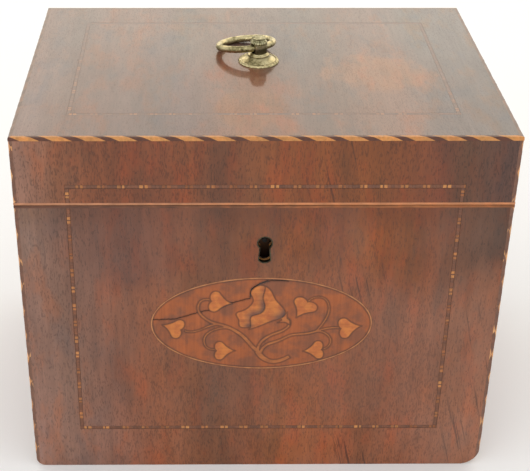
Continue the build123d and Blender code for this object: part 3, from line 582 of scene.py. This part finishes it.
def edging(bm, axes, length, phase, ends, period, joints, tones):
    """Light and dark slips along an outer arris. axes are its corner, its direction and the two ways
    inward. ends gives where the strip begins and stops at each point (a, b) of its section, and
    joints the shift of a light slip's two ends there."""
    start = phase - period * 2
    while start < length + period:
        middle = start + LIGHT_SHARE * period + rng.uniform(-0.03, 0.03) * period
        for begin, finish, index in ((start, middle, LIGHT), (middle, start + period, DARK)):
            rows = []
            for i in range(SLICES):
                share = i / (SLICES - 1)
                row = []
                for a, b in SECTION:
                    first, last = joints(a, b) if index == LIGHT else joints(a, b)[::-1]
                    s = (begin + first) * (1 - share) + (finish + last) * share
                    low, high = ends[a, b]
                    row.append(worn_point(axes, min(max(s, low), high), a, b))
                rows.append(row)
            kept = max((last - first).dot(axes[1]) for first, last in zip(rows[0], rows[-1]))
            if kept >= HAIR:
                slip(bm, rows, index, rng.uniform(*tones))
        start += period


def lid_edges():
    """Edging round the lid's upper edge, mitred at the corners, more worn at the sides and the back."""
    bm = bmesh.new()
    worn = (0.0, 0.35)
    for x, y, along, length, inward, phase, tones in (
        (-HX, -HY, X, 2 * HX, Y, 1.35 * MM, (0.75, 1.0)),
        (HX, -HY, Y, 2 * HY, -X, 3.0 * MM, worn),
        (HX, HY, -X, 2 * HX, -Y, 2.0 * MM, worn),
        (-HX, HY, -Y, 2 * HY, X, 4.0 * MM, worn),
    ):
        first = len(bm.faces)
        mitres = {(a, b): (a, length - a) for a, b in SECTION}
        axes = (Vector((x, y, TOP_Z)), along, inward, -Z)
        edging(bm, axes, length, phase, mitres, LID_PERIOD, slanting, tones)
        if tones is worn:
            bm.faces.ensure_lookup_table()
            for face in bm.faces[first:]:
                face.material_index += 2  # to the rubbed woods
    piece("lid_edge_rope", cleaned(bm), "lid", "lid_edge_stringing",
          [rope_light, rope_dark, side_rope_light, side_rope_dark])


def foot(node, corner, into_x, into_y, a, b):
    """How far above its corner the CAD post begins, under a point of the section."""
    inside = [min(max(value, HAIR), ROPE - HAIR) for value in (a, b)]
    below = corner + into_x * inside[0] + into_y * inside[1] - Z * 0.01
    hit, where, _, _ = node.ray_cast(below, Z)
    return max(where.z - corner.z, 0.0) if hit else 0.0


def posts(body, z0):
    """The upright edging on the four corners from z0 up, ending where the CAD posts end."""
    name = f"{body}_corner_stringing"
    node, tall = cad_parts[name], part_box(name)[1].z - z0
    bm = bmesh.new()
    for sx in (-1, 1):
        for sy in (-1, 1):
            corner = Vector((sx * HX, sy * HY, z0))
            into_x, into_y = X * -sx, Y * -sy
            ends = {(a, b): (foot(node, corner, into_x, into_y, a, b), tall) for a, b in SECTION}
            edging(bm, (corner, Z, into_x, into_y), tall, rng.uniform(1, 9) * MM, ends, POST_PERIOD, tapering,
                   (0.2, 1.0))
    piece(f"{body}_corner_rope", cleaned(bm), body, name, [post_light, post_dark])


lid_edges()
posts("case", 0.0)
posts("lid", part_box("lid_corner_stringing")[0].z)

# ---- Chequered lines ----
HALF_LINE = LINE_WIDE / 2
INNER = HALF_LINE - 0.13 * MM  # the same without the dark slip
GAP = 0.012 * MM  # glue line round a block
EASED = 0.05 * MM  # rubbed edge of a block


def top_wear(point):
    """How much of its own colour a line of the top keeps: the front and the left side stayed clear."""
    return max(0.0, 1.1 - 1.3 * (point.y + HY) / (2 * HY) - 0.5 * max(point.x / HX, 0.0))


def chip(bm, axes, span, width, sunk, index, tone, eased):
    """One small block, let in so that its face, eased round its edges, is sunk below the surface.
    axes are the line's start, its directions along and across, and the way out of the surface."""
    start, u, v, normal = axes
    (u0, u1), (v0, v1) = span, width
    layer = tone_layer(bm)
    ease = min(eased, (u1 - u0) / 4, (v1 - v0) / 4)
    rings = []
    for inset, depth in ((GAP, LINE_DEEP), (GAP, sunk + ease), (GAP + ease, sunk)):
        corners = ((u0 + inset, v0 + inset), (u1 - inset, v0 + inset),
                   (u1 - inset, v1 - inset), (u0 + inset, v1 - inset))
        rings.append([bm.verts.new(start + u * cu + v * cv - normal * depth) for cu, cv in corners])
    faces = [bm.faces.new(rings[0][::-1]), bm.faces.new(rings[2])]
    for low, high in zip(rings, rings[1:]):
        for k in range(4):
            faces.append(bm.faces.new((low[k], low[(k + 1) % 4], high[(k + 1) % 4], high[k])))
    for face in faces:
        face.material_index = index
        for vert in face.verts:
            vert[layer] = tone


def pair():
    """Two light blocks with brown wood in short blocks between and after them, as millimetres along
    the line, material and tone."""
    fresh = rng.random() ** 1.2
    blocks = [(rng.uniform(0.8, 1.4), LIGHT, fresh), (rng.uniform(0.35, 0.6), BROWN, 0.2),
              (rng.uniform(0.8, 1.4), LIGHT, min(1.0, max(0.0, fresh + rng.uniform(-0.35, 0.35))))]
    left = rng.uniform(4.3, 5.3)
    while left > 0.5:
        size = rng.uniform(0.9, 1.6)
        blocks.append((min(size, left), BROWN, rng.random()))
        left -= size
    return blocks


def chequer(bm, start, end, across, normal, wear=lambda point: 1.0, relief=1.0):
    """One run of line from start to end: thin dark slips at both sides, pairs of light blocks between.
    wear gives how much of its own colour it keeps at a point. A low relief is a line polished nearly
    level with the veneer."""
    eased = EASED * relief
    length = (end - start).length
    u = (end - start) / length
    axes = (start, u, across, normal)
    u0 = 0.0
    while u0 < length - 0.01 * MM:  # the dark slips, in lengths with small gaps
        u1 = min(u0 + rng.uniform(14, 30) * MM, length)
        kept = wear(start + u * (u0 + u1) / 2)
        for width in ((-HALF_LINE, -INNER), (INNER, HALF_LINE)):
            chip(bm, axes, (u0, u1), width, rng.uniform(0.01, 0.05) * MM * relief, DARK, kept, eased)
        u0 = u1
    u0 = rng.uniform(0.5, 4) * MM
    spans = [(0.0, u0, BROWN, 0.5)]
    while u0 < length:
        for size, index, tone in pair():
            spans.append((u0, min(u0 + size * MM, length), index, tone))
            u0 += size * MM
            if u0 >= length:
                break
    for a, b, index, tone in spans:
        if b - a > 0.08 * MM:
            sunk = rng.uniform(0.01, 0.06) * MM * relief
            kept = tone * wear(start + u * (a + b) / 2)
            chip(bm, axes, (a, b), (-INNER, INNER), sunk, index, kept, eased)


def front_lines(body, stem, at_foot):
    """The chequered line on a front: a level run, at its foot or its head, and two uprights."""
    low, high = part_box(f"{stem}_line")
    level = low.z + HALF_LINE if at_foot else high.z - HALF_LINE
    z0, z1 = (low.z + LINE_WIDE, high.z) if at_foot else (low.z, high.z - LINE_WIDE)
    bm = bmesh.new()
    chequer(bm, Vector((low.x, -HY, level)), Vector((high.x, -HY, level)), Z, -Y)
    for x in (low.x + HALF_LINE, high.x - HALF_LINE):
        chequer(bm, Vector((x, -HY, z0)), Vector((x, -HY, z1)), X, -Y)
    piece(f"{stem}_blocks", cleaned(bm), body, f"{stem}_line",
          [line_light, line_dark, line_brown])


def top_lines():
    """The chequered line round the top, polished nearly level with it."""
    relief = 0.2
    low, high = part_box("lid_top_chequer_line")
    y0, y1 = low.y + LINE_WIDE, high.y - LINE_WIDE
    bm = bmesh.new()
    for y in (low.y + HALF_LINE, high.y - HALF_LINE):
        chequer(bm, Vector((low.x, y, TOP_Z)), Vector((high.x, y, TOP_Z)), Y, Z, top_wear, relief)
    for x in (low.x + HALF_LINE, high.x - HALF_LINE):
        chequer(bm, Vector((x, y0, TOP_Z)), Vector((x, y1, TOP_Z)), X, Z, top_wear, relief)
    piece("lid_top_chequer_blocks", cleaned(bm), "lid", "lid_top_chequer_line",
          [top_light, top_dark, top_brown])


front_lines("case", "case_chequer", at_foot=True)
front_lines("lid", "lid_front_chequer", at_foot=False)
top_lines()

# ---- Marquetry ----
oval_low, oval_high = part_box("oval_border")
OVAL_X, OVAL_Z = (oval_low.x + oval_high.x) / 2, (oval_low.z + oval_high.z) / 2


CRACK = [Vector((x, z)) * MM for x, z in (
    (-40.6, 2.1), (-32.4, 2.4), (-23.4, 5.5), (-16.9, 6.9), (-11.6, 9.5), (-4.5, 11.6), (-4.0, 15.5),
    (-0.5, 18.3), (3.5, 19.4), (9.4, 19.2))]
CHIPPED, CHIPPED_REACH = Vector((-1.8, 17.0)) * MM, 4.5 * MM  # the crack gapes round here
BACK_MIDDLE = 7.0  # height of the back petal's middle, in millimetres
FRONT_TIP = Vector((-4.8, -0.8)) * MM  # the low end of the front petal
SAME = 1e-7  # corners closer than this are one


def front_outlines(node):
    """The front face of an inlay node as closed rings of (x, z) from the oval's centre."""
    mesh = node.data
    outer = {}  # an edge between two faces of the front runs both ways, so it drops out
    for poly in mesh.polygons:
        if poly.normal.y < -0.9 and poly.center.y < -HY + 0.05 * MM:
            corners = [tuple(round(c / SAME) for c in mesh.vertices[i].co) for i in poly.vertices]
            for a, b in zip(corners, corners[1:] + corners[:1]):
                if (b, a) in outer:
                    outer.pop((b, a))
                else:
                    outer[a, b] = True
    follow = dict(outer.keys())
    rings = []
    while follow:
        first, here = follow.popitem()
        ring = [first]
        while here != first:
            ring.append(here)
            here = follow.pop(here)
        rings.append([Vector((p[0] * SAME - OVAL_X, p[2] * SAME - OVAL_Z)) for p in ring])
    return rings


def spaced(points, step, closed=True):
    """Points at most a step apart on a line."""
    result = []
    for a, b in zip(points, points[1:] + points[:1] if closed else points[1:]):
        count = max(1, math.ceil((b - a).length / step))
        result += [a.lerp(b, i / count) for i in range(count)]
    return result if closed else result + [points[-1]]


def search_tree(points):
    """A tree that finds the nearest of some flat points."""
    tree = kdtree.KDTree(len(points))
    for i, point in enumerate(points):
        tree.insert((point.x, point.y, 0), i)
    tree.balance()
    return tree


def wandering(points):
    """The same line with small waves up and down."""
    waves = [noise.noise(Vector((point.x, point.y, 0)) * 900) * 0.25 * MM for point in points]
    return [Vector((point.x, point.y + wave)) for point, wave in zip(points, waves)]


def encloses(ring, point):
    """Whether a closed ring goes round a point."""
    odd = False
    for a, b in zip(ring, ring[1:] + ring[:1]):
        if (a.y > point.y) != (b.y > point.y) and point.x < a.x + (b.x - a.x) * (point.y - a.y) / (b.y - a.y):
            odd = not odd
    return odd


def bell(far, reach):
    return math.exp(-((far / reach) ** 2))


def scorch(rings, point):
    """Hot sand has darkened each piece of the flower where the next one overlaps it: the back petal
    along the front one, and the front petal at the calyx."""
    calyx, back, front = sorted(rings, key=lambda ring: max(p.y for p in ring) - min(p.y for p in ring))
    for ring, cover, reach in ((back, front, 2.0 * MM), (front, calyx, 2.6 * MM)):
        if encloses(ring, point):
            far = min((p - point).length for p in cover)
            share = 0.3 + 0.7 * bell(point.y / MM - BACK_MIDDLE, 5.0) if ring is back else 1.0
            return max(0.9 * share * bell(far, reach), 0.8 * bell((point - FRONT_TIP).length, 1.8 * MM))
    return 0.15


def covers(node, x, z):
    """Whether an inlay node's front is at that place."""
    hit, where, _, _ = node.ray_cast(Vector((x + OVAL_X, -HY - 0.01, z + OVAL_Z)), Y)
    return hit and where.y < -HY + 0.05 * MM


def inner_points(node, rim, crack, crack_tree, grid):
    """Points all over a plate, clear of its rim, and closer together along the crack."""
    low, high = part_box(node.name)
    draw = random.Random(5)
    places = [(point.x, point.y + lift * MM, 0.05 * MM) for point in crack for lift in (-0.16, 0.0, 0.16)]
    for i in range(int((high.z - low.z) / grid) + 1):
        for j in range(int((high.x - low.x) / grid) + 1):
            x = low.x - OVAL_X + (j + 0.5 * (i % 2) + draw.uniform(-0.2, 0.2)) * grid
            z = low.z - OVAL_Z + (i + draw.uniform(-0.2, 0.2)) * grid
            if not crack or crack_tree.find((x, z, 0))[2] >= 0.24 * MM:
                places.append((x, z, 0.12 * MM))
    return [Vector((x, z)) for x, z, least in places
            if covers(node, x, z) and rim.find((x, z, 0))[2] > least]


def inlay(name, node_name, material, grid, shade=None, crack=()):
    """A dense plate over an inlay node's front, that dips a little along its edges and its crack."""
    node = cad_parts[node_name]
    rings = [spaced(ring, 0.4 * MM) for ring in front_outlines(node)]
    flat, edges = [], []
    for ring in rings:
        first = len(flat)
        flat += ring
        edges += [(first + i, first + (i + 1) % len(ring)) for i in range(len(ring))]
    rim = search_tree([flat[a].lerp(flat[b], i / 4) for a, b in edges for i in range(4)])
    crack_tree = search_tree(crack)
    inside = inner_points(node, rim, crack, crack_tree, grid)
    verts, _, faces, _, _, _ = delaunay_2d_cdt(flat + inside, edges, [], 0, 1e-9)
    bm = bmesh.new()
    edge_layer = bm.verts.layers.float.new("edge")
    shade_layer = bm.verts.layers.float.new("shade")
    front = []
    for point in verts:
        far = rim.find((point.x, point.y, 0))[2]
        dip = 0.045 * MM * max(0.0, 1 - far / (0.22 * MM)) ** 2
        value = shade(rings, point) if shade else 0.0
        if crack:
            near = crack_tree.find((point.x, point.y, 0))[2]
            gape = bell((point - CHIPPED).length, CHIPPED_REACH)
            if near < (0.05 + 0.3 * gape) * MM:
                dip += 0.22 * MM
                value = 1.0
            value = max(value, 0.7 * max(0.0, 1 - near / ((0.7 + 0.5 * gape) * MM)))
        vert = bm.verts.new((point.x + OVAL_X, -HY + dip, point.y + OVAL_Z))
        vert[edge_layer] = far / MM
        vert[shade_layer] = value
        front.append(vert)
    for face in faces:
        middle = sum((verts[i] for i in face), Vector((0, 0))) / 3
        if covers(node, middle.x, middle.y):
            bm.faces.new([front[i] for i in face])
    for vert in [v for v in bm.verts if not v.link_faces]:
        bm.verts.remove(vert)
    bmesh.ops.recalc_face_normals(bm, faces=bm.faces)
    if sum(f.normal.y for f in bm.faces) > 0:
        bmesh.ops.reverse_faces(bm, faces=bm.faces)
    for vert in walls(bm):
        vert.co.y = -HY + VENEER
        vert[edge_layer] = 0.0
    bmesh.ops.holes_fill(bm, edges=open_edges(bm), sides=0)
    piece(name, bm, "case", node_name, [material])


inlay("oval_ground_plate", "oval_ground", ground_wood, 0.55 * MM,
      crack=wandering(spaced(CRACK, 0.3 * MM, closed=False)))
inlay("oval_border_line", "oval_border", border_wood, 0.25 * MM)
inlay("inlay_leaf_plates", "inlay_leaves", leaf_wood, 0.35 * MM)
inlay("inlay_flower_plates", "inlay_flower", petal_wood, 0.35 * MM, shade=scorch)
inlay("inlay_stem_plates", "inlay_stems", stem_wood, 0.3 * MM)


# ---- Ring handle ----
def skin(bm, rows):
    """Faces over rows of vertices, which close both ways."""
    for i, row in enumerate(rows):
        beside = rows[(i + 1) % len(rows)]
        for k in range(len(row)):
            up = (k + 1) % len(row)
            bm.faces.new((row[k], beside[k], beside[up], row[up]))
    bmesh.ops.recalc_face_normals(bm, faces=bm.faces)


def ring_piece():
    """The cast ring, a little uneven and worn, inside the plain ring of the frame."""
    steps, round_steps = 160, 24
    points = np.array([v.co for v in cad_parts["handle_ring"].data.vertices])
    centre = points.mean(axis=0)
    axis = Vector(np.linalg.svd(points - centre, full_matrices=False)[2][2])
    if axis.z < 0:
        axis = -axis
    centre = Vector(centre)
    offsets = [Vector(point) - centre for point in points]
    far = [(v - axis * v.dot(axis)).length for v in offsets]
    radius, wire = (max(far) + min(far)) / 2, (max(far) - min(far)) / 2
    side = axis.orthogonal().normalized()
    other = axis.cross(side)
    bm = bmesh.new()
    rows = []
    for i in range(steps):
        angle = 2 * math.pi * i / steps
        out = side * math.cos(angle) + other * math.sin(angle)
        row = []
        for k in range(round_steps):
            turn = 2 * math.pi * k / round_steps
            direction = out * math.cos(turn) + axis * math.sin(turn)
            point = centre + out * radius + direction * wire
            worn = 0.05 + 0.05 * noise.noise(point * 500) + 0.03 * noise.noise(point * 1500)
            row.append(bm.verts.new(point - direction * wire * max(worn, 0.0)))
        rows.append(row)
    skin(bm, rows)
    piece("handle_ring_cast", bm, "ring", "handle_ring", [cast_brass], smooth=True)


LOBES, LOBE_STEPS, LOBE_DEPTH = 26, 8, 0.035  # gadroons round the rosette's rim
ROSETTE = [(1.0, 0.0), (1.0, 0.06), (0.985, 0.15), (0.93, 0.24), (0.87, 0.26), (0.85, 0.22), (0.82, 0.25),
           (0.76, 0.31), (0.68, 0.38), (0.6, 0.45), (0.54, 0.55), (0.495, 0.68), (0.49, 0.72), (0.515, 0.77),
           (0.515, 0.83), (0.485, 0.87), (0.44, 0.9), (0.43, 1.0), (0.19, 1.0), (0.19, 0.0)]


def rosette_piece():
    """The turned rosette, from its profile as shares of the radius and the height, with its gadroons."""
    low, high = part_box("handle_rosette")
    radius, tall, middle = (high.x - low.x) / 2, high.z - low.z, (low + high) / 2
    steps = LOBES * LOBE_STEPS
    bm = bmesh.new()
    rows = []
    for i in range(steps):
        angle = 2 * math.pi * i / steps
        valley = 1 - abs(math.sin(angle * LOBES / 2))
        row = []
        for share, height in ROSETTE:
            rim = max(0.0, 1 - abs(share - 0.96) / 0.1) if height < 0.3 else 0.0
            r = radius * share * (1 - LOBE_DEPTH * rim * valley)
            z = low.z + tall * height * (1 - 0.35 * rim * valley * (height > 0.1))
            row.append(bm.verts.new((middle.x + r * math.cos(angle), middle.y + r * math.sin(angle), z)))
        rows.append(row)
    skin(bm, rows)
    piece("handle_rosette_cast", bm, "lid", "handle_rosette", [cast_brass], smooth=True)


ring_piece()
rosette_piece()

# ---- Foil linings ----
FOIL = 0.4 * MM
FOIL_STEP = 1.6 * MM


def crease(point, inward, top):
    """How far a point of the foil stands out, less near the tray's top."""
    folds = 1 - abs(noise.noise(point * 90 + Vector((3, 1, 7)))) * 2
    small = 1 - abs(noise.noise(point * 260)) * 2
    near_top = min(1.0, (top - point.z) / (2 * MM))
    return inward * (max(0.0, folds - 0.35) * 0.9 + max(0.0, small - 0.5) * 0.35) * MM * near_top


def sheet(bm, origin, u, v, size_u, size_v, inward, top):
    """One creased wall or the bottom of a tray, on a grid."""
    nu, nv = max(2, round(size_u / FOIL_STEP)), max(2, round(size_v / FOIL_STEP))
    rows = []
    for i in range(nu + 1):
        row = []
        for k in range(nv + 1):
            point = origin + u * (size_u * i / nu) + v * (size_v * k / nv)
            border = min(i, nu - i, k if inward is not Z else min(k, nv - k), 3) / 3
            row.append(bm.verts.new(point + inward * FOIL + crease(point, inward, top) * border))
        rows.append(row)
    for first, second in zip(rows, rows[1:]):
        for k in range(nv):
            bm.faces.new((first[k], second[k], second[k + 1], first[k + 1]))


def lining(side):
    """A tray of thin foil, pressed into its compartment and creased."""
    name = f"{side}_foil_lining"
    low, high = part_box(name)
    middle = (low + high) / 2
    dx, dy, dz = high - low
    t = FOIL
    wide, deep, tall = dx - 2 * t, dy - 2 * t, dz - t
    bm = bmesh.new()
    for x, y, z, u, v, size_u, size_v, inward in (
        (low.x + t, low.y + t, low.z, X, Y, wide, deep, Z),
        (low.x, low.y + t, low.z + t, Y, Z, deep, tall, X),
        (high.x, low.y + t, low.z + t, Y, Z, deep, tall, -X),
        (low.x + t, low.y, low.z + t, X, Z, wide, tall, Y),
        (low.x + t, high.y, low.z + t, X, Z, wide, tall, -Y),
    ):
        sheet(bm, Vector((x, y, z)), u, v, size_u, size_v, inward, high.z)
    bmesh.ops.remove_doubles(bm, verts=bm.verts, dist=0.01 * MM)
    for vert in walls(bm):  # the top edge
        if abs(vert.co.x - middle.x) > dx / 2 - 2 * t:
            vert.co.x = high.x if vert.co.x > middle.x else low.x
        if abs(vert.co.y - middle.y) > dy / 2 - 2 * t:
            vert.co.y = high.y if vert.co.y > middle.y else low.y
    for vert in walls(bm):  # the outside
        vert.co.z = low.z
    bmesh.ops.holes_fill(bm, edges=open_edges(bm), sides=0)
    bmesh.ops.recalc_face_normals(bm, faces=bm.faces)
    piece(f"{side}_foil_tray", bm, "case", name, [foil_metal])


lining("left")
lining("right")

# ---- Studio ----
FLOOR_HALF = 3.0
floor_mesh = bpy.data.meshes.new("floor")
corners = [(x * FLOOR_HALF, y * FLOOR_HALF, 0) for x, y in ((-1, -1), (1, -1), (1, 1), (-1, 1))]
floor_mesh.from_pydata(corners, [], [(0, 1, 2, 3)])
floor = added("floor", floor_mesh)
floor.location.z = -0.05 * MM  # clear of the caddy's foot
pale = Shader("pale_floor", Roughness=0.9, Specular_IOR_Level=0.1)
greys = [(0.3, (0.90, 0.90, 0.90, 1)), (0.7, (0.93, 0.93, 0.93, 1))]
floor_mesh.materials.append(pale.finished(pale.ramp(pale.noise(pale.place, 3.0, 3.0), greys)))

world = bpy.data.worlds.new("studio")
bpy.context.scene.world = world
world.use_nodes = True
backdrop = world.node_tree.nodes["Background"]
backdrop.inputs["Color"].default_value = (1.0, 1.0, 1.0, 1)
backdrop.inputs["Strength"].default_value = 0.95


def softbox(name, place, size, radiance, colour):
    """A rectangular light of that radiance, turned to the middle of the caddy."""
    light = bpy.data.lights.new(name, "AREA")
    light.shape = "RECTANGLE"
    light.size, light.size_y = size
    light.energy = radiance * math.pi * size[0] * size[1]
    light.color = colour
    lamp = added(name, light)
    lamp.location = place
    lamp.rotation_euler = (Vector((0, 0, 0.08)) - Vector(place)).to_track_quat("-Z", "Y").to_euler()
    lamp.visible_camera = False


softbox("back_softbox", (0.1, 1.25, 0.66), (2.6, 1.0), 0.95, (1.0, 0.84, 0.56))
softbox("front_softbox", (-0.7, -1.3, 0.9), (1.2, 1.0), 1.0, (1.0, 0.98, 0.95))

# ---- Camera ----
camera = added("camera", bpy.data.cameras.new("camera"))
camera.data.sensor_width = 36.0
camera.data.lens = 83.0
camera.data.shift_x = 0.096
camera.data.dof.use_dof = False
down, turned, rolled = math.radians(30.26), math.radians(-0.59), math.radians(0.19)
camera.matrix_world = (Matrix.Translation((-21.8 * MM, -444.5 * MM, 328.4 * MM))
                       @ Matrix.Rotation(turned, 4, "Z") @ Matrix.Rotation(math.pi / 2 - down, 4, "X")
                       @ Matrix.Rotation(rolled, 4, "Z"))
bpy.context.scene.camera = camera
bpy.context.scene.view_settings.view_transform = "Standard"
